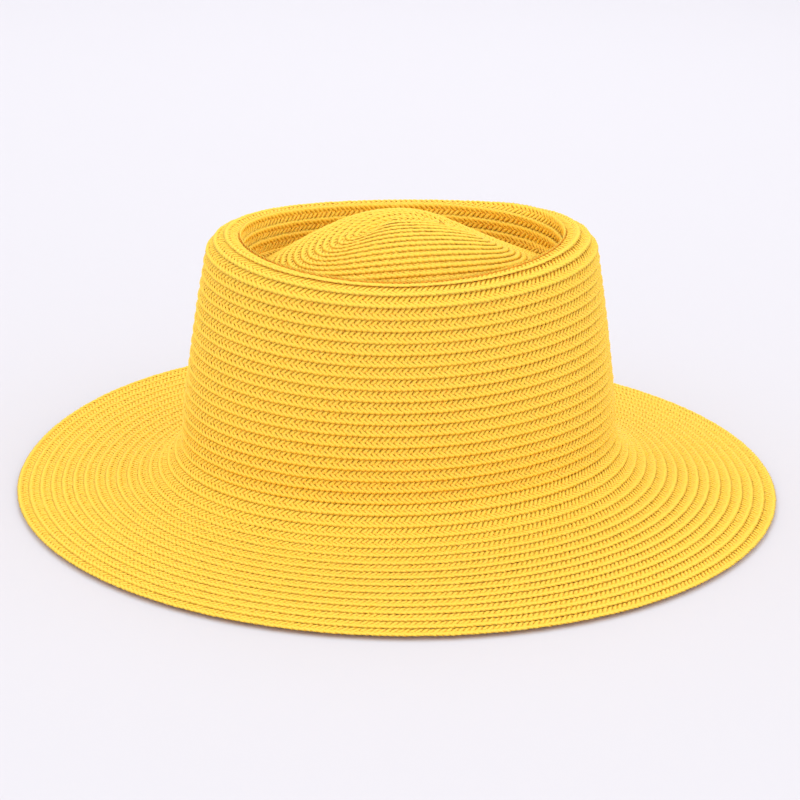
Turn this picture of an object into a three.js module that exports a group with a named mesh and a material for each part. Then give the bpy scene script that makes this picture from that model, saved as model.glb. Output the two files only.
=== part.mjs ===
// A straw hat sewn from one long braid: a telescope crown with a rounded rim, a groove and a low
// dome inside it, a tapered side wall and a wide brim that slopes down to its edge.
// Sizes are in millimetres. +Z is up, +X runs along the longer way of the head opening, and the
// origin is on the floor under the middle of the brim.
import * as THREE from 'three';

// Head opening, measured outside the straw where the side wall meets the brim
const HEAD_LENGTH = 201;
const HEAD_WIDTH = 159;

// Brim: its width past the two ends and past the two sides of the head opening, the height of its
// inner end over its edge, and the flare that turns it up into the side wall
const BRIM_WIDTH_AT_ENDS = 71;
const BRIM_WIDTH_AT_SIDES = 82;
const BRIM_RISE = 5.5;
const FLARE_HEIGHT = 14;
const FLARE_REACH = 9;

// The brim's edge stands off the floor a little on one side
const SIDE_LIFT = 5;
const SIDE_LIFT_AT = THREE.MathUtils.degToRad(108);
const SIDE_LIFT_SPREAD = THREE.MathUtils.degToRad(60);

// How sharply the lift fades from the edge of the brim to its inner end
const BRIM_BEND = 1.5;

// Crown: the height of the rim over the floor, how far the side wall leans in up to the shoulder,
// and the rounding of the rim on its outer and its inner side
const RIM_HEIGHT = 115;
const TAPER_AT_ENDS = 12.7;
const TAPER_AT_SIDES = 12.4;
const RIM_RADIUS = 12;
const RIM_INNER_RADIUS = 3.5;

// The soft crown leans a little: how far its rim stands off the middle of the brim
const LEAN_ALONG = -4.5;
const LEAN_ACROSS = -6;

// The rim is a little out of level and a little saddle shaped: by how much, and where it is high
const RIM_TILT = 2.2;
const RIM_TILT_AT = THREE.MathUtils.degToRad(90);
const RIM_SADDLE = 2.3;
const RIM_SADDLE_AT = THREE.MathUtils.degToRad(-17);

// Groove inside the rim, and the dome that rises out of it. The two powers say how full the dome
// is: it falls off like a cone towards the ends of the hat and stays fuller towards its sides
const GROOVE_DEPTH = 17.8;
const GROOVE_WIDTH = 4.5;
const GROOVE_WALL_SLOPE = THREE.MathUtils.degToRad(75);
const DOME_RISE = 26.3;
const DOME_POWER_AT_ENDS = 1.2;
const DOME_POWER_AT_SIDES = 2.8;

// The braid starts as a straight line on the dome: half its length, and how far its middle lies
// off the middle of the dome
const START_HALF = 20;
const START_ALONG = -8.6;
const START_ACROSS = -4.3;

// Straw and braid
const WALL = 1.8;
const ROW_PITCH = 5.1;
const ROW_RELIEF = 0.8;
const LIP_FACE = 0.6;
const EDGE_ROW_WIDTH = 7;
const EDGE_LAND = 3;
const STRAW_COLOUR = 0xf6c52c;

// Air between two pieces that meet
const CLEARANCE = 0.3;

// Fineness of the faceted walls
const SEGMENTS = 44;
const CURVE_STEPS = 1200;
const INNER_TURN = THREE.MathUtils.degToRad(24);
const INNER_SPAN = 18;

const headHalf = { length: HEAD_LENGTH / 2, width: HEAD_WIDTH / 2 };
const shoulderHalf = {
  length: headHalf.length - TAPER_AT_ENDS,
  width: headHalf.width - TAPER_AT_SIDES,
};
const rimToDome = RIM_RADIUS + RIM_INNER_RADIUS * Math.sin(GROOVE_WALL_SLOPE) + GROOVE_WIDTH;
const domeHalf = {
  length: shoulderHalf.length - rimToDome,
  width: shoulderHalf.width - rimToDome,
};
const joinHeight = WALL + BRIM_RISE + FLARE_HEIGHT;
const shoulderHeight = RIM_HEIGHT - RIM_RADIUS;
const grooveHeight = RIM_HEIGHT - GROOVE_DEPTH;
const grooveWallHeight = GROOVE_DEPTH - RIM_INNER_RADIUS * (1 - Math.cos(GROOVE_WALL_SLOPE));

// Shares of the dome's half size where its sections lie, from its middle to its foot
const DOME_SECTIONS = [0, 0.15, 0.3, 0.45, 0.6, 0.75, 0.88, 1];

// Groove, from the dome's foot to the rim: out is a share of its width, up of its wall's height
const GROOVE_SECTIONS = [
  { out: 0.35, up: 0.0 },
  { out: 0.66, up: 0.1 },
  { out: 0.86, up: 0.4 },
  { out: 1.0, up: 1.0 },
];

// Shares of the inner rounding, from the groove's wall to the top of the rim, and of the outer
// rounding, from there to the shoulder
const INNER_ROUNDING = [0.67, 0.33];
const OUTER_ROUNDING = [0, 0.25, 0.5, 0.75, 1];

// The seam between the tip and the side wall follows a row just outside the top of the rim
const SEAM_ROUNDING = 0.25;

// Side wall, from the shoulder to the join: down is a share of its height, out of its taper
const SIDE_SECTIONS = [
  { down: 0.25, out: 0.3 },
  { down: 0.5, out: 0.56 },
  { down: 0.75, out: 0.8 },
  { down: 1.0, out: 1.0 },
];

// Shares of the brim's width where its sections lie, from the join to the edge
const BRIM_SECTIONS = [0.02, 0.05, 0.1, 0.16, 0.24, 0.35, 0.5, 0.75, 1];

// A section is the half length, half width and height of the hat's outer surface
function section(length, width, height) {
  return new THREE.Vector3(length, width, height);
}

// Height of the dome at a place seen from above, measured from the dome's middle
function domeHeight(along, across) {
  const out = Math.hypot(along / domeHalf.length, across / domeHalf.width);
  const sideways = Math.sin(Math.atan2(across / domeHalf.width, along / domeHalf.length)) ** 2;
  const power = THREE.MathUtils.lerp(DOME_POWER_AT_ENDS, DOME_POWER_AT_SIDES, sideways);
  return grooveHeight + DOME_RISE * (1 - Math.min(out, 1) ** power);
}

// The dome's sections for the profile have a fullness midway between its ends and its sides
function domeSections() {
  const power = (DOME_POWER_AT_ENDS + DOME_POWER_AT_SIDES) / 2;
  return DOME_SECTIONS.map((out) => {
    const length = THREE.MathUtils.lerp(START_HALF, domeHalf.length, out);
    return section(length, domeHalf.width * out, grooveHeight + DOME_RISE * (1 - out ** power));
  });
}

function grooveSections() {
  return GROOVE_SECTIONS.map(({ out, up }) => {
    const reach = GROOVE_WIDTH * out;
    const height = grooveHeight + grooveWallHeight * up;
    return section(domeHalf.length + reach, domeHalf.width + reach, height);
  });
}

// A point on the rim's rounding, at an angle inward or outward from straight up
function rimSection(radius, angle) {
  const inset = RIM_RADIUS - radius * Math.sin(angle);
  const height = RIM_HEIGHT - radius * (1 - Math.cos(angle));
  return section(shoulderHalf.length - inset, shoulderHalf.width - inset, height);
}

function outerRimSection(share) {
  return rimSection(RIM_RADIUS, (share * Math.PI) / 2);
}

function rimSections() {
  const inner = INNER_ROUNDING.map((share) => rimSection(RIM_INNER_RADIUS, -share * GROOVE_WALL_SLOPE));
  return [...inner, ...OUTER_ROUNDING.map(outerRimSection)];
}

function sideSections() {
  return SIDE_SECTIONS.map(({ down, out }) => {
    const height = THREE.MathUtils.lerp(shoulderHeight, joinHeight, down);
    const length = shoulderHalf.length + TAPER_AT_ENDS * out;
    const width = shoulderHalf.width + TAPER_AT_SIDES * out;
    return section(length, width, height);
  });
}

function brimSections() {
  return BRIM_SECTIONS.map((out) => {
    const atEnds = BRIM_WIDTH_AT_ENDS * out;
    const atSides = BRIM_WIDTH_AT_SIDES * out;
    const flare = FLARE_HEIGHT * Math.exp(-(atEnds + atSides) / 2 / FLARE_REACH);
    const height = WALL + BRIM_RISE * (1 - out) + flare;
    return section(headHalf.length + atEnds, headHalf.width + atSides, height);
  });
}

// The outer surface's section as one smooth line from the middle of the tip to the brim's edge,
// walked in fine steps. Each step knows its section, the direction in which the line runs there
// and its distance from the middle of the tip
function walkProfile(sections) {
  const curve = new THREE.CatmullRomCurve3(sections, false, 'centripetal');
  const points = curve.getPoints(CURVE_STEPS);
  const steps = [];
  let travelled = 0;
  points.forEach((point, index) => {
    const before = points[Math.max(index - 1, 0)];
    const after = points[Math.min(index + 1, points.length - 1)];
    travelled += spread(before, point);
    const outward = (after.x - before.x + after.y - before.y) / 2;
    const angle = Math.atan2(after.z - before.z, outward);
    steps.push({ point, angle, travelled });
  });
  return steps;
}

// Distance between two sections along the surface, by their mean radius
function spread(from, to) {
  const outward = (to.x - from.x + to.y - from.y) / 2;
  return Math.hypot(outward, to.z - from.z);
}

const crownTop = [...domeSections(), ...grooveSections()];
const allSections = [...crownTop, ...rimSections(), ...sideSections(), ...brimSections()];
const profile = walkProfile(allSections);
const fullLength = profile[profile.length - 1].travelled;

// Distance from the middle of the tip to the step that lies nearest to a section
function distanceTo(target) {
  let nearest = profile[0];
  for (const step of profile) {
    if (step.point.distanceTo(target) < nearest.point.distanceTo(target)) nearest = step;
  }
  return nearest.travelled;
}

// The profile's section and direction at a distance from the middle of the tip
function stationAt(distance) {
  let index = profile.findIndex((step) => step.travelled >= distance);
  if (index < 0) index = profile.length - 1;
  index = Math.max(index, 1);
  const before = profile[index - 1];
  const after = profile[index];
  const gap = after.travelled - before.travelled;
  const share = gap > 0 ? THREE.MathUtils.clamp((distance - before.travelled) / gap, 0, 1) : 0;
  const point = before.point.clone().lerp(after.point, share);
  return { point, angle: THREE.MathUtils.lerp(before.angle, after.angle, share) };
}

// A smooth swelling of height 1 at one angle round the hat, gone at a spread either side of it
function swelling(angle, middle, reach) {
  const turned = THREE.MathUtils.euclideanModulo(angle - middle + Math.PI, 2 * Math.PI) - Math.PI;
  const share = Math.min(Math.abs(turned) / reach, 1);
  return Math.cos((share * Math.PI) / 2) ** 2;
}

// How far up the crown a section lies, from 0 at the join to 1 at the rim
function upTheCrown(point) {
  return THREE.MathUtils.clamp((point.z - joinHeight) / (RIM_HEIGHT - joinHeight), 0, 1);
}

// How far out on the dome a section lies, from 0 where the braid starts to 1 at the dome's foot
// and beyond
function outTheDome(point) {
  return THREE.MathUtils.clamp(point.y / domeHalf.width, 0, 1);
}

// How far a section at one angle is raised above the plain oval hat: the brim's edge off the
// floor, the rim out of level and saddle shaped
function raiseAt(point, angle) {
  const onBrim = THREE.MathUtils.clamp((point.x - headHalf.length) / BRIM_WIDTH_AT_ENDS, 0, 1);
  const lift = SIDE_LIFT * swelling(angle, SIDE_LIFT_AT, SIDE_LIFT_SPREAD);
  const tilt = RIM_TILT * Math.cos(angle - RIM_TILT_AT)
    + RIM_SADDLE * Math.cos(2 * (angle - RIM_SADDLE_AT));
  return lift * onBrim ** BRIM_BEND + tilt * upTheCrown(point) * outTheDome(point) ** 2;
}

// A ring of the wall: its distance along the profile and how far it stands off the outer surface.
// On the dome its middle moves towards the start of the braid, and its height is the dome's. A
// ring on the floor takes its height from the floor, and the ring at the start is a single point
function place(ring, angle) {
  const { point, angle: slope } = stationAt(ring.distance);
  const size = ring.distance === 0 ? 0 : 1;
  const toStart = 1 - outTheDome(point);
  const along = size * point.x * Math.cos(angle) + toStart * START_ALONG;
  const across = size * point.y * Math.sin(angle) + toStart * START_ACROSS;
  const surface = toStart > 0 ? domeHeight(along, across) : point.z;
  const out = -Math.sin(slope) * ring.offset * size;
  const height = ring.onFloor ? 0 : surface + Math.cos(slope) * ring.offset;
  const lean = upTheCrown(point);
  return new THREE.Vector3(
    along + out * Math.cos(angle) + lean * LEAN_ALONG,
    across + out * Math.sin(angle) + lean * LEAN_ACROSS,
    height + raiseAt(point, angle),
  );
}

// Outer rings of the braid rows between two distances. Each row rises to its lip, which lies over
// the start of the next row
function rowRings(from, to) {
  const count = Math.max(1, Math.round((to - from) / ROW_PITCH));
  const pitch = (to - from) / count;
  const rings = [];
  for (let row = 0; row < count; row += 1) {
    const start = from + row * pitch + (row > 0 ? LIP_FACE : 0);
    rings.push({ distance: start, offset: 0 });
    rings.push({ distance: from + (row + 1) * pitch, offset: ROW_RELIEF });
  }
  return rings;
}

// Rings of the smooth inner surface between two distances, closer where the profile bends
function liningRings(from, to) {
  const rings = [{ distance: from, offset: -WALL }];
  let last = stationAt(from);
  let lastDistance = from;
  for (const step of profile) {
    const turned = Math.abs(step.angle - last.angle) > INNER_TURN;
    const far = step.travelled - lastDistance > INNER_SPAN;
    if ((turned || far) && step.travelled > from && step.travelled < to - ROW_PITCH / 2) {
      rings.push({ distance: step.travelled, offset: -WALL });
      last = step;
      lastDistance = step.travelled;
    }
  }
  rings.push({ distance: to, offset: -WALL });
  return rings;
}

// A closed wall through its rings: out along the braid rows, and back along the inner surface.
// A ring at the middle of the tip is a single point
function wallGeometry(rings) {
  const positions = [];
  const first = [];
  for (const ring of rings) {
    first.push(positions.length / 3);
    const count = ring.distance === 0 ? 1 : SEGMENTS;
    for (let index = 0; index < count; index += 1) {
      positions.push(...place(ring, (index / SEGMENTS) * 2 * Math.PI).toArray());
    }
  }
  const corner = (ring, index) => {
    const isPoint = rings[ring].distance === 0;
    return first[ring] + (isPoint ? 0 : index % SEGMENTS);
  };
  const triangles = [];
  for (let ring = 0; ring < rings.length; ring += 1) {
    const next = (ring + 1) % rings.length;
    for (let index = 0; index < SEGMENTS; index += 1) {
      const a = corner(ring, index);
      const b = corner(next, index);
      const c = corner(next, index + 1);
      const d = corner(ring, index + 1);
      if (b !== c) triangles.push(a, b, c);
      if (a !== d) triangles.push(a, c, d);
    }
  }
  const geometry = new THREE.BufferGeometry();
  geometry.setAttribute('position', new THREE.Float32BufferAttribute(positions, 3));
  geometry.setIndex(triangles);
  geometry.computeVertexNormals();
  return geometry;
}

// One piece of the hat, from its start to its end along the profile
function strawPiece(name, rings) {
  const material = new THREE.MeshStandardMaterial({ color: STRAW_COLOUR, roughness: 0.7, metalness: 0 });
  const mesh = new THREE.Mesh(wallGeometry(rings), material);
  mesh.name = name;
  return mesh;
}

function shellRings(from, to) {
  return [...rowRings(from, to), ...liningRings(from, to).reverse()];
}

// The last row ends in a narrow flat land on which the hat rests
function edgeRings(from, to) {
  const land = [
    { distance: to, offset: 0, onFloor: true },
    { distance: to - EDGE_LAND, offset: 0, onFloor: true },
  ];
  return [...rowRings(from, to), ...land, { distance: from, offset: -WALL }];
}

const seam = distanceTo(outerRimSection(SEAM_ROUNDING));
const join = distanceTo(sideSections().at(-1));
const edgeRow = fullLength - EDGE_ROW_WIDTH;

const hat = new THREE.Group();
hat.name = 'straw_hat';
hat.add(strawPiece('crown_tip', shellRings(0, seam)));
hat.add(strawPiece('crown_side', shellRings(seam + CLEARANCE, join)));
hat.add(strawPiece('brim', shellRings(join + CLEARANCE, edgeRow)));
hat.add(strawPiece('brim_edge', edgeRings(edgeRow + CLEARANCE, fullLength)));

export default hat;
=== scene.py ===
"""Looks for the straw hat: one plaited paper braid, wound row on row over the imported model."""
import math

import bpy
import numpy as np
from mathutils import Euler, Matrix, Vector


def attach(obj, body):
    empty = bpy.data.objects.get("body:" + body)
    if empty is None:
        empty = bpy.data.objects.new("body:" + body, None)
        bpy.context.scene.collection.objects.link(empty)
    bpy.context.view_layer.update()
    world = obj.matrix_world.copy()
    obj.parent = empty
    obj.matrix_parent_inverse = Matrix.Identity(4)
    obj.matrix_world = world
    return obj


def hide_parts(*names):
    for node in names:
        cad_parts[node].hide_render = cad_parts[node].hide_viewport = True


bl_info = {
    "name": "Straw braid hat",
    "version": (1, 0, 0),
    "blender": (4, 5, 0),
    "location": "3D View > Sidebar > Straw hat",
    "description": "Builds a spiral-sewn straw braid hat and its stage",
    "category": "Object",
}

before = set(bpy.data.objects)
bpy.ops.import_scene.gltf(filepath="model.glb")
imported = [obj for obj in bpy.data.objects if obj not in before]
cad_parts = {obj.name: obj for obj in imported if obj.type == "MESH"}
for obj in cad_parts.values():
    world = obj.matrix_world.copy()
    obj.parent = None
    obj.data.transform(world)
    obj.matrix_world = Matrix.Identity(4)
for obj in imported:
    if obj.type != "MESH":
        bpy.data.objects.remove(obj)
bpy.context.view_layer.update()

BODY = "root"
MM = 0.001

# The brim's edge stands off the floor on one side: height, direction and spread
BRIM_LIFT = {"height": 5.0, "at": 108.0, "spread": 60.0}

# The rim is a little out of level and saddle shaped: height, direction and waves round the crown
RIM_WAVES = (
    {"height": 2.2, "at": 90.0, "waves": 1},
    {"height": 2.3, "at": -17.0, "waves": 2},
)

# Half a turn of one strand through the plait: progress along the braid as a share of the half
# turn, how far it lies towards the lip, and how high it lies over its neighbours. It comes to the
# lip over the strands it crosses, turns there, and leaves under them
STRAND_PATH = (
    {"share": 0.0, "across": 0.0, "height": -0.1},
    {"share": 0.12, "across": 0.26, "height": 0.8},
    {"share": 0.3, "across": 0.62, "height": 1.0},
    {"share": 0.5, "across": 0.86, "height": 0.5},
    {"share": 0.7, "across": 0.62, "height": -0.7},
    {"share": 0.88, "across": 0.26, "height": -1.0},
    {"share": 1.0, "across": 0.0, "height": -0.1},
)
WIDEST = max(row["across"] for row in STRAND_PATH)

# One strand reaches the lip in each stitch, so a strand's half turn takes half as many stitches
# as there are strands. The guide line has a few points in each stitch
STRANDS = 5
HALF_TURN = STRANDS / 2
STEPS_IN_A_STITCH = 2.5

# A strand's section: its sides, and its radius as a share of the strand's size
STRAND_SECTION = {"sides": 3, "radius": 0.58}

# Share of a strand's width that may pass the braid's edge where it turns
EDGE_OVERHANG = 0.35

# How far before a half turn's end the strand counts as being in the next one, in stitches
SWITCH_EARLY = 0.01

# Sections along the profile as shares: out from the dome's middle, up the groove's wall, round
# the rim's inner and outer side, down the side wall, and out over the brim
DOME_SECTIONS = (0, 0.15, 0.3, 0.45, 0.6, 0.75, 0.88, 1)
GROOVE_SECTIONS = (
    {"out": 0.35, "up": 0.0},
    {"out": 0.66, "up": 0.1},
    {"out": 0.86, "up": 0.4},
    {"out": 1.0, "up": 1.0},
)
INNER_ROUNDING = (0.67, 0.33)
OUTER_ROUNDING = (0, 0.25, 0.5, 0.75, 1)
SEAM_ROUNDING = 0.25
SIDE_SECTIONS = (
    {"down": 0.25, "out": 0.3},
    {"down": 0.5, "out": 0.56},
    {"down": 0.75, "out": 0.8},
    {"down": 1.0, "out": 1.0},
)
BRIM_SECTIONS = (0.02, 0.05, 0.1, 0.16, 0.24, 0.35, 0.5, 0.75, 1)
PROFILE_STEPS = 40

# How far apart the points lie that give the surface's directions, along it and round it, and how
# near to the dome's middle they may come
PROBE = {"distance": 0.8 * MM, "turn": 0.004, "middle": 0.02 * MM}
TINY = 1e-12

# Points worked out in each turn of the braid, and how far its end stays off a whole turn
POINTS_IN_A_TURN = 720
SHORT_OF_END = 0.001

# How near the braid comes to its start, as a share of the first row
NEAR_START = 1 / 8

# Pieces of braid from the middle of the tip to the edge: the CAD node that each one replaces,
# where it starts and ends as a share of the way along that node, and how closely it is plaited
BRAID_PIECES = (
    {"name": "tip_braid_inner", "node": "crown_tip", "start": 0.0, "end": 0.55, "tight": 1.08},
    {"name": "tip_braid_outer", "node": "crown_tip", "start": 0.55, "end": 1.0, "tight": 1.04},
    {"name": "side_braid_upper", "node": "crown_side", "start": 0.0, "end": 0.36, "tight": 1.0},
    {"name": "side_braid_middle", "node": "crown_side", "start": 0.36, "end": 0.7, "tight": 1.0},
    {"name": "side_braid_lower", "node": "crown_side", "start": 0.7, "end": 1.0, "tight": 1.0},
    {"name": "brim_braid_inner", "node": "brim", "start": 0.0, "end": 0.3, "tight": 1.04},
    {"name": "brim_braid_middle", "node": "brim", "start": 0.3, "end": 0.56, "tight": 1.1},
    {"name": "brim_braid_wide", "node": "brim", "start": 0.56, "end": 0.79, "tight": 1.12},
    {"name": "brim_braid_outer", "node": "brim", "start": 0.79, "end": 1.0, "tight": 1.12},
    {"name": "edge_braid", "node": "brim_edge", "start": 0.0, "end": 1.0, "tight": 1.08},
)

# How strongly the rows stand over one another on each CAD node
ROW_RELIEF = {"crown_tip": 1.45, "crown_side": 1.3, "brim": 1.0, "brim_edge": 1.0}

# Where each row steps out into the next, at the back of the hat: direction, and share of a turn
ROW_STEP = {"at": 66.0, "share": 0.22}

# Noise in the straw: the paper's fibres, and peach flecks that drift along each strand
FIBRES = {"scale": 2600.0, "detail": 3.0}
FLECKS = {"scale": 420.0, "detail": 2.0, "drift": 0.35}

# How the straw's masks become colour and roughness: the range read, and the range given
RANGES = {
    "flecks": {"from": (0.48, 0.64), "to": (0.0, 1.0)},
    # Painted shade: how far the colour turns deeper where a strand lies under others
    "tuck_shade": {"from": (0.45, 0.85), "to": (0.0, 0.8)},
    "fibres": {"from": (0.55, 0.75), "to": (0.0, 0.25)},
    "roughness": {"from": (0.3, 0.7), "to": (0.55, 0.8)},
}

# The fibres' relief, and how matt the straw and the floor are
BUMP = {"strength": 0.35, "distance": 0.3 * MM}
STRAW_SHINE = 0.3
FLOOR_SHINE = {"roughness": 0.9, "specular": 0.1}

# The backdrop in metres: where the floor starts and bends, how it bends, and where it ends
BACKDROP = {"front": -3.0, "bend": 2.2, "radius": 1.2, "steps": 12, "top": 4.0, "half_width": 4.0}

# Colour of the light from all round, the camera's sensor in millimetres and its reach in metres
SKY = (1.0, 0.995, 1.0, 1)
SENSOR_WIDTH = 36.0
FARTHEST_SEEN = 50.0

# Soft lights in metres: to the side, behind the hat and up, as the camera sees them
LIGHTS = (
    {"name": "key", "place": (-0.6, -0.9, 1.6), "aim": (0.0, 0.0, 0.06), "size": 1.6},
    {"name": "fill", "place": (1.1, -0.5, 1.3), "aim": (0.0, 0.0, 0.06), "size": 1.4},
    {"name": "back", "place": (0.0, 1.2, 1.5), "aim": (0.0, 1.1, 0.0), "size": 1.2},
)


def length(name, description, millimetres):
    return bpy.props.FloatProperty(
        name=name, description=description, default=millimetres * MM, unit="LENGTH", precision=5)


def number(name, description, value):
    return bpy.props.FloatProperty(name=name, description=description, default=value)


def colour(name, description, value):
    return bpy.props.FloatVectorProperty(
        name=name, description=description, default=value, size=3, min=0.0, max=1.0,
        subtype="COLOR")


class HatShape(bpy.types.PropertyGroup):
    head_length: length("Head length", "Length of the head opening outside the straw", 201)
    head_width: length("Head width", "Width of the head opening outside the straw", 159)
    brim_at_ends: length("Brim at ends", "Width of the brim past the ends of the opening", 71)
    brim_at_sides: length("Brim at sides", "Width of the brim past the sides", 82)
    brim_rise: length("Brim rise", "Height of the brim's inner end over its edge", 5.5)
    flare_height: length("Flare height", "Height of the flare under the side wall", 14)
    flare_reach: length("Flare reach", "How fast the flare runs out into the brim", 9)
    brim_bend: number("Brim bend", "How sharply the lifts fade towards the crown", 1.5)
    rim_height: length("Rim height", "Height of the rim over the floor", 115)
    taper_at_ends: length("Taper at ends", "How far the side wall leans in at the ends", 12.7)
    taper_at_sides: length("Taper at sides", "How far the side wall leans in at the sides", 12.4)
    rim_radius: length("Rim radius", "Rounding of the rim's outer side", 12)
    rim_inner_radius: length("Inner rim radius", "Rounding of the rim's inner side", 3.5)
    groove_depth: length("Groove depth", "Depth of the groove inside the rim", 17.8)
    groove_width: length("Groove width", "Width of the groove's curved bottom", 4.5)
    groove_slope: number("Groove slope", "Slope of the groove's wall in degrees", 75.0)
    dome_rise: length("Dome rise", "Height of the dome over the groove", 26.3)
    power_at_ends: number("Power at ends", "How full the dome is towards the ends", 1.2)
    power_at_sides: number("Power at sides", "How full the dome is towards the sides", 2.8)
    start_half: length("Start", "Half length of the braid's straight start", 16)
    start_turn: number("Start turn", "Direction of the straight start in degrees", -22.0)
    start_along: length("Start along", "How far the start lies off the dome's middle", -1.0)
    start_across: length("Start across", "How far it lies off the middle sideways", -5.4)
    lean_along: length("Lean along", "How far the rim stands off the middle", -4.5)
    lean_across: length("Lean across", "How far the rim stands off it sideways", -6)
    wall: length("Wall", "Thickness of the straw", 1.8)
    edge_row: length("Edge row", "Width of the last row of braid", 7)


class BraidSettings(bpy.types.PropertyGroup):
    pitch: length("Row pitch", "Distance from one row of braid to the next", 5.1)
    dome_pitch: length("Dome pitch", "Distance from row to row on the dome", 3.4)
    first_row: length("First row", "Distance of the first lip from the start", 4.3)
    edge_pitch: length("Edge pitch", "Distance of the last lip from the one before it", 5.2)
    edge_inset: length("Edge inset", "How far the last lip stays inside the hat's edge", 0.5)
    width: length("Braid width", "Full width of the braid", 6.4)
    stitch: length("Stitch", "Length of braid from one strand's turn at the lip to the next", 2.35)
    strand_width: length("Strand width", "Width of one flattened strand", 1.95)
    strand_thickness: length("Strand thickness", "Thickness of one strand", 0.55)
    lift: length("Strand lift", "How far strands rise over one another", 0.22)
    crossing_shift: length("Crossing shift", "How far the crossings lie towards the lip", 0.6)
    lip_height: length("Lip height", "Height of the row's lip over the surface", 0.34)
    tuck_depth: length("Tuck depth", "Depth of the row's hidden edge", 0.7)
    jitter: length("Jitter", "Irregularity of the strands", 0.11)
    seed: bpy.props.IntProperty(name="Seed", description="Seed of the irregularity", default=7)


class StrawColours(bpy.types.PropertyGroup):
    straw: colour("Straw", "Main colour of the paper straw", (0.99, 0.67, 0.045))
    pale: colour("Pale straw", "Colour of the peach flecks", (1.0, 0.63, 0.15))
    # Painted shade: the colour mixed in where strands tuck under others, standing in for the shade
    # between them; the paper's fibres are mixed towards it too
    tuck_shade_and_fibre: colour("Deep straw", "Colour where strands tuck under others", (0.98, 0.33, 0.015))
    floor: colour("Floor", "Colour of the floor", (0.68, 0.669, 0.71))


def catmull_rom(points, steps):
    """A smooth centripetal curve through points, with the given number of steps in each span."""
    points = np.asarray(points, float)
    padded = np.vstack([2 * points[0] - points[1], points, 2 * points[-1] - points[-2]])
    curve = []
    for before, start, end, after in zip(padded, padded[1:], padded[2:], padded[3:]):
        gaps = [max(np.linalg.norm(b - a), 1e-9) ** 0.5
                for a, b in ((before, start), (start, end), (end, after))]
        leave = ((start - before) / gaps[0] - (end - before) / (gaps[0] + gaps[1])
                 + (end - start) / gaps[1]) * gaps[1]
        arrive = ((end - start) / gaps[1] - (after - start) / (gaps[1] + gaps[2])
                  + (after - end) / gaps[2]) * gaps[1]
        for t in np.arange(steps) / steps:
            curve.append((2 * t ** 3 - 3 * t ** 2 + 1) * start + (t ** 3 - 2 * t ** 2 + t) * leave
                         + (3 * t ** 2 - 2 * t ** 3) * end + (t ** 3 - t ** 2) * arrive)
    curve.append(points[-1])
    return np.array(curve)


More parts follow.
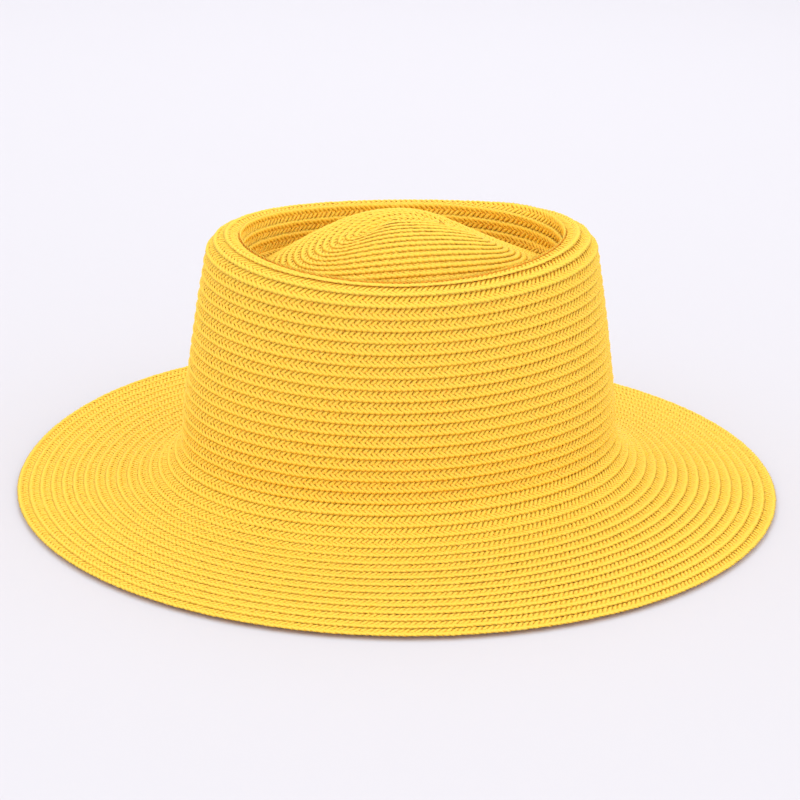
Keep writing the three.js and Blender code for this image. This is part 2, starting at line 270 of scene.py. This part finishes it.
class HatSurface:
    """The hat's outer surface: half length, half width and height along one profile."""

    def __init__(self, shape):
        self.shape = shape
        self.half_length = shape.head_length / 2
        self.half_width = shape.head_width / 2
        self.join_height = shape.wall + shape.brim_rise + shape.flare_height
        self.groove_height = shape.rim_height - shape.groove_depth
        slope = math.radians(shape.groove_slope)
        self.slope = slope
        inset = shape.rim_radius + shape.rim_inner_radius * math.sin(slope) + shape.groove_width
        self.shoulder_length = self.half_length - shape.taper_at_ends
        self.shoulder_width = self.half_width - shape.taper_at_sides
        self.dome_length = self.shoulder_length - inset
        self.dome_width = self.shoulder_width - inset
        self.profile = catmull_rom(self.sections(), PROFILE_STEPS)
        reach = (self.profile[:, 0] + self.profile[:, 1]) / 2
        steps = np.hypot(np.diff(reach), np.diff(self.profile[:, 2]))
        self.travelled = np.concatenate([[0.0], np.cumsum(steps)])
        seam_angle = SEAM_ROUNDING * math.pi / 2
        self.seam = self.distance_to(self.rim_section(shape.rim_radius, seam_angle))
        self.join = self.distance_to((self.half_length, self.half_width, self.join_height))
        self.foot = self.distance_to((self.dome_length, self.dome_width, self.groove_height))
        self.full = self.travelled[-1]

    def rim_section(self, radius, angle):
        inset = self.shape.rim_radius - radius * math.sin(angle)
        height = self.shape.rim_height - radius * (1 - math.cos(angle))
        return (self.shoulder_length - inset, self.shoulder_width - inset, height)

    def sections(self):
        """Half length, half width and height of the sections that the profile runs through."""
        shape = self.shape
        rows = []
        power = (shape.power_at_ends + shape.power_at_sides) / 2
        for out in DOME_SECTIONS:
            reach = shape.start_half + (self.dome_length - shape.start_half) * out
            height = self.groove_height + shape.dome_rise * (1 - out ** power)
            rows.append((reach, self.dome_width * out, height))
        inner_drop = shape.rim_inner_radius * (1 - math.cos(self.slope))
        for section in GROOVE_SECTIONS:
            reach = shape.groove_width * section["out"]
            height = self.groove_height + (shape.groove_depth - inner_drop) * section["up"]
            rows.append((self.dome_length + reach, self.dome_width + reach, height))
        for part in INNER_ROUNDING:
            rows.append(self.rim_section(shape.rim_inner_radius, -part * self.slope))
        for part in OUTER_ROUNDING:
            rows.append(self.rim_section(shape.rim_radius, part * math.pi / 2))
        shoulder_height = shape.rim_height - shape.rim_radius
        for section in SIDE_SECTIONS:
            height = shoulder_height + (self.join_height - shoulder_height) * section["down"]
            rows.append((self.shoulder_length + shape.taper_at_ends * section["out"],
                         self.shoulder_width + shape.taper_at_sides * section["out"], height))
        for out in BRIM_SECTIONS:
            ends = shape.brim_at_ends * out
            sides = shape.brim_at_sides * out
            flare = shape.flare_height * math.exp(-(ends + sides) / 2 / shape.flare_reach)
            height = shape.wall + shape.brim_rise * (1 - out) + flare
            rows.append((self.half_length + ends, self.half_width + sides, height))
        return rows

    def distance_to(self, section):
        gaps = np.linalg.norm(self.profile - np.asarray(section), axis=1)
        return self.travelled[int(np.argmin(gaps))]

    def dome_height(self, along, across):
        """Height of the dome at a place seen from above, measured from the dome's middle."""
        out = np.hypot(along / self.dome_length, across / self.dome_width)
        sideways = np.sin(np.arctan2(across / self.dome_width, along / self.dome_length)) ** 2
        ends = self.shape.power_at_ends
        power = ends + (self.shape.power_at_sides - ends) * sideways
        return self.groove_height + self.shape.dome_rise * (1 - np.minimum(out, 1) ** power)

    def raised(self, reach, width, height, angle):
        """How far the surface is raised over the plain oval hat at an angle round it."""
        shape = self.shape
        on_brim = np.clip((reach - self.half_length) / shape.brim_at_ends, 0, 1)
        out_the_dome = np.clip(width / self.dome_width, 0, 1)
        turned = np.mod(angle - math.radians(BRIM_LIFT["at"]) + math.pi, 2 * math.pi) - math.pi
        part = np.minimum(np.abs(turned) / math.radians(BRIM_LIFT["spread"]), 1)
        lift = BRIM_LIFT["height"] * MM * np.cos(part * math.pi / 2) ** 2
        tilt = 0.0
        for row in RIM_WAVES:
            turned = row["waves"] * (angle - math.radians(row["at"]))
            tilt = tilt + row["height"] * MM * np.cos(turned)
        return (lift * on_brim ** shape.brim_bend
                + tilt * self.up_the_crown(height) * out_the_dome ** 2)

    def up_the_crown(self, height):
        crown_height = self.shape.rim_height - self.join_height
        return np.clip((height - self.join_height) / crown_height, 0, 1)

    def points(self, distance, angle):
        reach, width, height = (
            np.interp(distance, self.travelled, self.profile[:, k]) for k in range(3))
        past = np.maximum(distance - self.full, 0)
        to_start = 1 - np.clip(width / self.dome_width, 0, 1)
        lean = self.up_the_crown(height)
        start_turn = math.radians(self.shape.start_turn)
        start = to_start * self.shape.start_half * np.cos(angle)
        x = ((reach + past) * np.cos(angle) - start * (1 - math.cos(start_turn))
             + to_start * self.shape.start_along)
        y = ((width + past) * np.sin(angle) + start * math.sin(start_turn)
             + to_start * self.shape.start_across)
        level = np.where(to_start > 0, self.dome_height(x, y), height)
        level = level + self.raised(reach, width, height, angle)
        x = x + lean * self.shape.lean_along
        y = y + lean * self.shape.lean_across
        return np.stack([x, y, level], -1)

    def lines(self, distance, angle):
        """Points on the surface with the directions across the rows and out of the surface."""
        turn = PROBE["turn"]
        inner = np.maximum(distance - PROBE["distance"], PROBE["middle"])
        across = self.points(distance + PROBE["distance"], angle) - self.points(inner, angle)
        along = self.points(distance, angle + turn) - self.points(distance, angle - turn)
        across /= np.maximum(np.linalg.norm(across, axis=1, keepdims=True), TINY)
        outward = np.cross(across, along)
        outward /= np.maximum(np.linalg.norm(outward, axis=1, keepdims=True), TINY)
        return self.points(distance, angle), across, outward


def lip_distances(surface, braid):
    """Distances of the rows' lips: closer rows on the dome, and one full row at the edge."""
    last = surface.full - braid.edge_inset
    edge = last - braid.edge_pitch
    lips = [braid.first_row]
    for end, pitch in ((surface.foot, braid.dome_pitch), (surface.join, braid.pitch),
                       (edge, braid.pitch)):
        count = max(1, round((end - lips[-1]) / pitch))
        lips.extend(np.linspace(lips[-1], end, count + 1)[1:])
    return np.array([*lips, last])


def braid_turns(surface, braid):
    """Angles and distances of the whole braid, stepped evenly by its own length in stitches."""
    lips = lip_distances(surface, braid)
    turns = np.linspace(0, len(lips) - SHORT_OF_END, len(lips) * POINTS_IN_A_TURN)
    angle = turns * 2 * math.pi + math.radians(ROW_STEP["at"])
    part = np.clip((np.mod(turns, 1) - 1 + ROW_STEP["share"]) / ROW_STEP["share"], 0, 1)
    eased = part * part * (3 - 2 * part)
    lip = np.interp(np.floor(turns) + eased, np.arange(len(lips)), lips)
    distance = np.maximum(lip - braid.width / 2, braid.first_row * NEAR_START)
    middle = surface.points(distance, angle)
    run = np.concatenate([[0], np.cumsum(np.linalg.norm(np.diff(middle, axis=0), axis=1))])
    even = np.arange(0, run[-1], braid.stitch / STEPS_IN_A_STITCH)
    return np.interp(even, run, angle), np.interp(even, run, distance), even / braid.stitch


def guide_object(name, surface, first, last, course):
    """A line of points along the braid between two distances, with the directions it needs."""
    angle, distance, stitches = course
    indices = np.nonzero((distance >= first) & (distance <= last))[0]
    indices = indices[0] + np.arange(min(len(indices) + 1, len(angle) - indices[0]))
    points, across, outward = surface.lines(distance[indices], angle[indices])
    mesh = bpy.data.meshes.new(name + "_guide")
    count = len(points)
    mesh.from_pydata(points.tolist(), [(i, i + 1) for i in range(count - 1)], [])
    for label, kind, field, values in (
            ("across", "FLOAT_VECTOR", "vector", across),
            ("outward", "FLOAT_VECTOR", "vector", outward),
            ("stitches", "FLOAT", "value", stitches[indices])):
        attribute = mesh.attributes.new(label, kind, "POINT")
        attribute.data.foreach_set(field, np.asarray(values, np.float32).ravel())
    guide = bpy.data.objects.new(name, mesh)
    bpy.context.scene.collection.objects.link(guide)
    return guide


class TreeMaker:
    """Short calls for adding and joining nodes."""

    def __init__(self, tree):
        self.tree = tree

    def add(self, kind, **settings):
        node = self.tree.nodes.new(kind)
        for key, value in settings.items():
            setattr(node, key, value)
        return node

    def feed(self, value, socket):
        if isinstance(value, bpy.types.NodeSocket):
            self.tree.links.new(value, socket)
        else:
            socket.default_value = value

    def maths(self, operation, *values):
        node = self.add("ShaderNodeMath", operation=operation)
        for value, socket in zip(values, node.inputs):
            self.feed(value, socket)
        return node.outputs[0]

    def scaled(self, vector, factor):
        node = self.add("ShaderNodeVectorMath", operation="SCALE")
        self.feed(vector, node.inputs[0])
        self.feed(factor, node.inputs["Scale"])
        return node.outputs[0]

    def summed(self, first, second):
        node = self.add("ShaderNodeVectorMath", operation="ADD")
        self.feed(first, node.inputs[0])
        self.feed(second, node.inputs[1])
        return node.outputs[0]

    def attribute(self, name, kind):
        node = self.add("GeometryNodeInputNamedAttribute", data_type=kind)
        node.inputs["Name"].default_value = name
        return node.outputs["Attribute"]

    def curve(self, value, points, low, high):
        """A number looked up on a smooth line through points."""
        node = self.add("ShaderNodeFloatCurve")
        line = node.mapping.curves[0]
        while len(line.points) < len(points):
            line.points.new(0.5, 0.5)
        for point, (x, y) in zip(line.points, points):
            point.location = (x, (y - low) / (high - low))
            point.handle_type = "AUTO"
        node.mapping.update()
        self.feed(value, node.inputs["Value"])
        spread = self.maths("MULTIPLY", node.outputs[0], high - low)
        return self.maths("ADD", spread, low)

    def store(self, geometry, name, kind, value):
        node = self.add("GeometryNodeStoreNamedAttribute", data_type=kind, domain="POINT")
        self.feed(geometry, node.inputs["Geometry"])
        node.inputs["Name"].default_value = name
        self.feed(value, node.inputs["Value"])
        return node.outputs["Geometry"]


# Lengths that both geometry trees take, with the braid's setting that each comes from
LENGTH_INPUTS = {
    "Braid width": "width",
    "Strand width": "strand_width",
    "Strand thickness": "strand_thickness",
    "Strand lift": "lift",
    "Lip height": "lip_height",
    "Tuck depth": "tuck_depth",
    "Jitter": "jitter",
    "Crossing shift": "crossing_shift",
}


def open_tree(name, braid, extra_inputs):
    """A new geometry tree with the braid's lengths as inputs."""
    tree = bpy.data.node_groups.new(name, "GeometryNodeTree")
    face = tree.interface
    face.new_socket("Geometry", in_out="INPUT", socket_type="NodeSocketGeometry")
    for label, setting in LENGTH_INPUTS.items():
        socket = face.new_socket(label, in_out="INPUT", socket_type="NodeSocketFloat")
        socket.subtype = "DISTANCE"
        socket.default_value = getattr(braid, setting)
    for label, kind in extra_inputs:
        face.new_socket(label, in_out="INPUT", socket_type=kind)
    face.new_socket("Geometry", in_out="OUTPUT", socket_type="NodeSocketGeometry")
    maker = TreeMaker(tree)
    return maker, maker.add("NodeGroupInput"), maker.add("NodeGroupOutput")


def strand_tree(braid):
    """One strand of the plait, woven along a guide line."""
    maker, given, result = open_tree("Plaited strand", braid, (("Strand", "NodeSocketFloat"),
                                                               ("Seed", "NodeSocketInt")))
    width = given.outputs["Braid width"]
    stitches = maker.attribute("stitches", "FLOAT")
    started = maker.maths("SUBTRACT", stitches, given.outputs["Strand"])
    turn = maker.maths("FLOORED_MODULO", started, 2 * HALF_TURN)
    half = maker.maths("DIVIDE", maker.maths("FLOORED_MODULO", turn, HALF_TURN), HALF_TURN)
    back = maker.maths("GREATER_THAN", turn, HALF_TURN - SWITCH_EARLY)
    side = maker.maths("SUBTRACT", 1.0, maker.maths("MULTIPLY", back, 2.0))
    wave = maker.curve(half, [(row["share"], row["across"]) for row in STRAND_PATH], -1, 1)
    rise = maker.curve(half, [(row["share"], row["height"]) for row in STRAND_PATH], -1, 1)
    to_lip = maker.maths("MULTIPLY", wave, side)
    random = maker.add("FunctionNodeRandomValue", data_type="FLOAT_VECTOR")
    random.inputs["Min"].default_value = (-1, -1, -1)
    random.inputs["Max"].default_value = (1, 1, 1)
    seed = maker.maths("ADD", given.outputs["Seed"], given.outputs["Strand"])
    maker.feed(seed, random.inputs["Seed"])
    across = maker.attribute("across", "FLOAT_VECTOR")
    outward = maker.attribute("outward", "FLOAT_VECTOR")
    overhang = maker.maths("MULTIPLY", given.outputs["Strand width"], EDGE_OVERHANG)
    room = maker.maths("SUBTRACT", width, given.outputs["Strand width"])
    room = maker.maths("ADD", room, overhang)
    aside = maker.maths("MULTIPLY", to_lip, maker.maths("DIVIDE", room, 2 * WIDEST))
    towards_edge = maker.maths("DIVIDE", to_lip, WIDEST)
    off_edge = maker.maths("SUBTRACT", 1.0, maker.maths("MULTIPLY", towards_edge, towards_edge))
    skew = maker.maths("MULTIPLY", off_edge, given.outputs["Crossing shift"])
    aside = maker.maths("ADD", aside, skew)
    slant = maker.maths("ADD", given.outputs["Lip height"], given.outputs["Tuck depth"])
    slant = maker.maths("MULTIPLY", slant, maker.maths("DIVIDE", aside, width))
    level = maker.maths("SUBTRACT", given.outputs["Lip height"], given.outputs["Tuck depth"])
    level = maker.maths("DIVIDE", level, 2.0)
    height = maker.maths("ADD", maker.maths("MULTIPLY", rise, given.outputs["Strand lift"]),
                         maker.maths("ADD", slant, level))
    offset = maker.summed(maker.scaled(across, aside), maker.scaled(outward, height))
    offset = maker.summed(offset, maker.scaled(random.outputs["Value"], given.outputs["Jitter"]))

    to_curve = maker.add("GeometryNodeMeshToCurve")
    maker.feed(given.outputs["Geometry"], to_curve.inputs["Mesh"])
    # How far each point lies under the strands it crosses; the straw's colour paints shade from it
    line = maker.store(to_curve.outputs["Curve"], "tuck", "FLOAT",
                       maker.maths("SUBTRACT", 0.5, maker.maths("MULTIPLY", rise, 0.5)))
    line = maker.store(line, "strand", "FLOAT", given.outputs["Strand"])
    moved = maker.add("GeometryNodeSetPosition")
    maker.feed(line, moved.inputs["Geometry"])
    maker.feed(offset, moved.inputs["Offset"])
    turned = maker.add("GeometryNodeSetCurveNormal", mode="FREE")
    maker.feed(moved.outputs["Geometry"], turned.inputs["Curve"])
    maker.feed(outward, turned.inputs["Normal"])

    ring = maker.add("GeometryNodeCurvePrimitiveCircle", mode="RADIUS")
    ring.inputs["Resolution"].default_value = STRAND_SECTION["sides"]
    ring.inputs["Radius"].default_value = STRAND_SECTION["radius"]
    shaped = maker.add("GeometryNodeTransform")
    maker.feed(ring.outputs["Curve"], shaped.inputs["Geometry"])
    size = maker.add("ShaderNodeCombineXYZ")
    maker.feed(given.outputs["Strand thickness"], size.inputs["X"])
    maker.feed(given.outputs["Strand width"], size.inputs["Y"])
    size.inputs["Z"].default_value = 1.0
    maker.feed(size.outputs[0], shaped.inputs["Scale"])
    swept = maker.add("GeometryNodeCurveToMesh")
    maker.feed(turned.outputs["Curve"], swept.inputs["Curve"])
    maker.feed(shaped.outputs["Geometry"], swept.inputs["Profile Curve"])
    swept.inputs["Fill Caps"].default_value = True
    maker.feed(swept.outputs["Mesh"], result.inputs["Geometry"])
    return maker.tree


def braid_tree(braid, strand):
    """The whole plait: its strands side by side, in one mesh with one material."""
    maker, given, result = open_tree("Plaited braid", braid, (("Seed", "NodeSocketInt"),
                                                              ("Straw", "NodeSocketMaterial")))
    joined = maker.add("GeometryNodeJoinGeometry")
    for index in range(STRANDS):
        group = maker.add("GeometryNodeGroup")
        group.node_tree = strand
        maker.feed(given.outputs["Geometry"], group.inputs["Geometry"])
        for label in LENGTH_INPUTS:
            maker.feed(given.outputs[label], group.inputs[label])
        group.inputs["Strand"].default_value = float(index)
        maker.feed(given.outputs["Seed"], group.inputs["Seed"])
        maker.feed(group.outputs["Geometry"], joined.inputs["Geometry"])
    smooth = maker.add("GeometryNodeSetShadeSmooth")
    maker.feed(joined.outputs["Geometry"], smooth.inputs["Geometry"])
    real = maker.add("GeometryNodeRealizeInstances")
    maker.feed(smooth.outputs["Geometry"], real.inputs["Geometry"])
    finish = maker.add("GeometryNodeSetMaterial")
    maker.feed(real.outputs["Geometry"], finish.inputs["Geometry"])
    maker.feed(given.outputs["Straw"], finish.inputs["Material"])
    maker.feed(finish.outputs["Geometry"], result.inputs["Geometry"])
    return maker.tree


def as_plain_mesh(guide, tree, values):
    """Run a geometry tree on a guide and leave its result as the object's own mesh."""
    modifier = guide.modifiers.new("Braid", "NODES")
    modifier.node_group = tree
    for item in tree.interface.items_tree:
        if item.item_type == "SOCKET" and item.in_out == "INPUT" and item.name in values:
            modifier[item.identifier] = values[item.name]
    guide.update_tag()
    graph = bpy.context.evaluated_depsgraph_get()
    mesh = bpy.data.meshes.new_from_object(guide.evaluated_get(graph))
    guide.modifiers.remove(modifier)
    line = guide.data
    guide.data = mesh
    bpy.data.meshes.remove(line)
    mesh.name = guide.name
    return guide


def paper_grain_group():
    """Twisted paper: a mask of its fibres, for colour and relief, and a mask of its flecks."""
    tree = bpy.data.node_groups.new("Paper grain", "ShaderNodeTree")
    face = tree.interface
    for label in ("Along", "Strand"):
        face.new_socket(label, in_out="INPUT", socket_type="NodeSocketFloat")
    for label in ("Fibre", "Fleck"):
        face.new_socket(label, in_out="OUTPUT", socket_type="NodeSocketFloat")
    maker = TreeMaker(tree)
    given = maker.add("NodeGroupInput")
    result = maker.add("NodeGroupOutput")
    place = maker.add("ShaderNodeTexCoord")
    fine = maker.add("ShaderNodeTexNoise", noise_dimensions="4D")
    maker.feed(place.outputs["Object"], fine.inputs["Vector"])
    maker.feed(given.outputs["Strand"], fine.inputs["W"])
    fine.inputs["Scale"].default_value = FIBRES["scale"]
    fine.inputs["Detail"].default_value = FIBRES["detail"]
    wide = maker.add("ShaderNodeTexNoise", noise_dimensions="4D")
    maker.feed(place.outputs["Object"], wide.inputs["Vector"])
    drift = maker.maths("MULTIPLY", given.outputs["Along"], FLECKS["drift"])
    maker.feed(drift, wide.inputs["W"])
    wide.inputs["Scale"].default_value = FLECKS["scale"]
    wide.inputs["Detail"].default_value = FLECKS["detail"]
    maker.feed(fine.outputs["Fac"], result.inputs["Fibre"])
    maker.feed(wide.outputs["Fac"], result.inputs["Fleck"])
    return tree


def straw_material(name, grain, colours):
    """Matt dyed paper straw, with painted shade: a deeper colour where the strands tuck under one
    another.
    """
    material = bpy.data.materials.new(name)
    material.use_nodes = True
    maker = TreeMaker(material.node_tree)
    shader = material.node_tree.nodes["Principled BSDF"]
    along = maker.add("ShaderNodeAttribute", attribute_name="stitches")
    strand = maker.add("ShaderNodeAttribute", attribute_name="strand")
    tuck = maker.add("ShaderNodeAttribute", attribute_name="tuck")
    paper = maker.add("ShaderNodeGroup", node_tree=grain)
    maker.feed(along.outputs["Fac"], paper.inputs["Along"])
    maker.feed(strand.outputs["Fac"], paper.inputs["Strand"])

    def blend(factor, first, second):
        node = maker.add("ShaderNodeMix", data_type="RGBA")
        maker.feed(factor, node.inputs[0])
        maker.feed(first, node.inputs[6])
        maker.feed(second, node.inputs[7])
        return node.outputs[2]

    def span(value, name):
        node = maker.add("ShaderNodeMapRange")
        maker.feed(value, node.inputs["Value"])
        ends = (*RANGES[name]["from"], *RANGES[name]["to"])
        for label, setting in zip(("From Min", "From Max", "To Min", "To Max"), ends):
            node.inputs[label].default_value = setting
        return node.outputs["Result"]

    fibre = paper.outputs["Fibre"]
    straw, pale, tuck_shade_and_fibre = ((*value, 1) for value in (colours.straw, colours.pale, colours.tuck_shade_and_fibre))
    mixed = blend(span(paper.outputs["Fleck"], "flecks"), straw, pale)
    # Painted shade: the colour turns deeper and more orange where a strand lies under its
    # neighbours
    mixed = blend(span(tuck.outputs["Fac"], "tuck_shade"), mixed, tuck_shade_and_fibre)
    # The paper's fibres, a real grain, take the same deeper colour
    mixed = blend(span(fibre, "fibres"), mixed, tuck_shade_and_fibre)
    maker.feed(mixed, shader.inputs["Base Color"])
    maker.feed(span(fibre, "roughness"), shader.inputs["Roughness"])
    shader.inputs["Specular IOR Level"].default_value = STRAW_SHINE
    bump = maker.add("ShaderNodeBump")
    bump.inputs["Strength"].default_value = BUMP["strength"]
    bump.inputs["Distance"].default_value = BUMP["distance"]
    maker.feed(fibre, bump.inputs["Height"])
    maker.feed(bump.outputs["Normal"], shader.inputs["Normal"])
    return material


def reaches(surface):
    """Where each CAD node starts and ends along the profile."""
    return {
        "crown_tip": (0.0, surface.seam),
        "crown_side": (surface.seam, surface.join),
        "brim": (surface.join, surface.full - surface.shape.edge_row),
        "brim_edge": (surface.full - surface.shape.edge_row, surface.full),
    }


def build_braid(scene, rows, slot):
    """Wind the braid over the given pieces and put each in place of its CAD node."""
    surface = HatSurface(scene.hat_shape)
    braid = scene.hat_braid
    course = braid_turns(surface, braid)
    groups = bpy.data.node_groups
    tree = groups.get("Plaited braid") or braid_tree(braid, strand_tree(braid))
    grain = groups.get("Paper grain") or paper_grain_group()
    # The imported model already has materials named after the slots
    label = "plaited_" + slot
    material = bpy.data.materials.get(label) or straw_material(label, grain, scene.hat_colours)
    values = {name: getattr(braid, setting) for name, setting in LENGTH_INPUTS.items()}
    values["Seed"] = braid.seed
    values["Straw"] = material
    node_reach = reaches(surface)
    for row in rows:
        low, high = node_reach[row["node"]]
        first = low + (high - low) * row["start"]
        last = low + (high - low) * row["end"]
        guide = guide_object(row["name"], surface, first, last, course)
        relief = ROW_RELIEF[row["node"]]
        values["Strand width"] = braid.strand_width * row["tight"]
        values["Lip height"] = braid.lip_height * relief
        values["Tuck depth"] = braid.tuck_depth * relief
        piece = as_plain_mesh(guide, tree, values)
        if not piece.data.polygons:
            raise RuntimeError("no braid was made for " + row["name"])
        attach(piece, BODY)
        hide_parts(row["node"])


class HAT_OT_crown(bpy.types.Operator):
    """Wind the braid over the tip and down the side wall"""
    bl_idname = "hat.crown"
    bl_label = "Crown"

    def execute(self, context):
        rows = [row for row in BRAID_PIECES if row["node"].startswith("crown")]
        build_braid(context.scene, rows, "crown_straw")
        return {"FINISHED"}


class HAT_OT_brim(bpy.types.Operator):
    """Wind the braid over the brim out to its edge"""
    bl_idname = "hat.brim"
    bl_label = "Brim"

    def execute(self, context):
        rows = [row for row in BRAID_PIECES if row["node"].startswith("brim")]
        build_braid(context.scene, rows, "brim_straw")
        return {"FINISHED"}


class StageSettings(bpy.types.PropertyGroup):
    distance: length("Camera distance", "Level distance from the hat's middle to the camera", 831.5)
    height: length("Camera height", "Height of the camera over the floor", 345)
    turn: number("Camera turn", "Direction of the camera round the hat in degrees", 23.6)
    pitch: number("Camera pitch", "How far the camera looks down in degrees", 20.34)
    roll: number("Camera roll", "How far the camera leans in degrees", 2.06)
    focal: number("Focal length", "Focal length as a share of the picture's width", 2.4737)
    shift: number("Shift", "Sideways shift as a share of the picture's width", -0.004)
    world: number("World light", "Strength of the light from all round", 1.23)
    key: number("Key light", "Power of the large soft light in watts", 3.4)
    fill: number("Fill light", "Power of the light from the other side in watts", 1.7)
    back: number("Back light", "Power of the light over the floor behind in watts", 5.4)


def place_camera(settings):
    data = bpy.data.cameras.new("camera")
    data.sensor_width = SENSOR_WIDTH
    data.lens = SENSOR_WIDTH * settings.focal
    data.shift_x = settings.shift
    data.clip_end = FARTHEST_SEEN
    camera = bpy.data.objects.new("camera", data)
    bpy.context.scene.collection.objects.link(camera)
    turn = math.radians(settings.turn)
    camera.location = (-settings.distance * math.sin(turn), -settings.distance * math.cos(turn),
                       settings.height)
    aim = Euler((math.radians(90 - settings.pitch), 0, -turn)).to_matrix()
    lean = Euler((0, 0, math.radians(settings.roll))).to_matrix()
    camera.rotation_euler = (aim @ lean).to_euler()
    bpy.context.scene.camera = camera


def soft_light(name, place, aim, size, power):
    data = bpy.data.lights.new(name, "AREA")
    data.shape = "DISK"
    data.size = size
    data.energy = power
    light = bpy.data.objects.new(name, data)
    light.location = place
    light.rotation_euler = (Vector(aim) - Vector(place)).to_track_quat("-Z", "Y").to_euler()
    bpy.context.scene.collection.objects.link(light)


def backdrop(colours, turn):
    """A floor that runs up into a wall far behind the hat, in one smooth sheet."""
    bend, radius, steps = (BACKDROP[name] for name in ("bend", "radius", "steps"))
    profile = [(BACKDROP["front"], 0.0), (bend, 0.0)]
    for step in range(1, steps + 1):
        angle = step / steps * math.pi / 2
        profile.append((bend + radius * math.sin(angle), radius * (1 - math.cos(angle))))
    profile.append((bend + radius, BACKDROP["top"]))
    points = []
    for reach, height in profile:
        for side in (-BACKDROP["half_width"], BACKDROP["half_width"]):
            x = side * math.cos(turn) + reach * math.sin(turn)
            y = -side * math.sin(turn) + reach * math.cos(turn)
            points.append((x, y, height))
    faces = [(2 * i, 2 * i + 1, 2 * i + 3, 2 * i + 2) for i in range(len(profile) - 1)]
    mesh = bpy.data.meshes.new("floor")
    mesh.from_pydata(points, [], faces)
    for face in mesh.polygons:
        face.use_smooth = True
    material = bpy.data.materials.new("pale_floor")
    material.use_nodes = True
    shader = material.node_tree.nodes["Principled BSDF"]
    shader.inputs["Base Color"].default_value = (*colours.floor, 1)
    shader.inputs["Roughness"].default_value = FLOOR_SHINE["roughness"]
    shader.inputs["Specular IOR Level"].default_value = FLOOR_SHINE["specular"]
    mesh.materials.append(material)
    floor = bpy.data.objects.new("floor", mesh)
    bpy.context.scene.collection.objects.link(floor)


class HAT_OT_stage(bpy.types.Operator):
    """Set up the floor, the soft light and the camera"""
    bl_idname = "hat.stage"
    bl_label = "Stage"

    def execute(self, context):
        scene = context.scene
        settings = scene.hat_stage
        turn = math.radians(settings.turn)
        place_camera(settings)
        backdrop(scene.hat_colours, turn)
        world = bpy.data.worlds.new("studio")
        world.use_nodes = True
        sky = world.node_tree.nodes["Background"]
        sky.inputs["Color"].default_value = SKY
        sky.inputs["Strength"].default_value = settings.world
        scene.world = world
        for row in LIGHTS:
            place, aim = (
                (side * math.cos(turn) + behind * math.sin(turn),
                 -side * math.sin(turn) + behind * math.cos(turn), height)
                for side, behind, height in (row["place"], row["aim"]))
            soft_light(row["name"], place, aim, row["size"], getattr(settings, row["name"]))
        scene.view_settings.view_transform = "Standard"
        return {"FINISHED"}


class HAT_PT_panel(bpy.types.Panel):
    """The hat's pieces and sizes"""
    bl_idname = "HAT_PT_panel"
    bl_label = "Straw hat"
    bl_space_type = "VIEW_3D"
    bl_region_type = "UI"
    bl_category = "Straw hat"

    def draw(self, context):
        layout = self.layout
        for operator in (HAT_OT_crown, HAT_OT_brim, HAT_OT_stage):
            layout.operator(operator.bl_idname)
        for group in ("hat_shape", "hat_braid", "hat_colours", "hat_stage"):
            settings = getattr(context.scene, group)
            for name in settings.__annotations__:
                layout.prop(settings, name)


GROUPS = (
    ("hat_shape", HatShape),
    ("hat_braid", BraidSettings),
    ("hat_colours", StrawColours),
    ("hat_stage", StageSettings),
)
OPERATORS = (HAT_OT_crown, HAT_OT_brim, HAT_OT_stage)


def register():
    for name, group in GROUPS:
        bpy.utils.register_class(group)
        setattr(bpy.types.Scene, name, bpy.props.PointerProperty(type=group))
    for kind in (*OPERATORS, HAT_PT_panel):
        bpy.utils.register_class(kind)


def unregister():
    for kind in reversed((*OPERATORS, HAT_PT_panel)):
        bpy.utils.unregister_class(kind)
    for name, group in reversed(GROUPS):
        delattr(bpy.types.Scene, name)
        bpy.utils.unregister_class(group)


def main():
    register()
    bpy.ops.hat.crown()
    bpy.ops.hat.brim()
    bpy.ops.hat.stage()


if __name__ == "__main__":
    main()
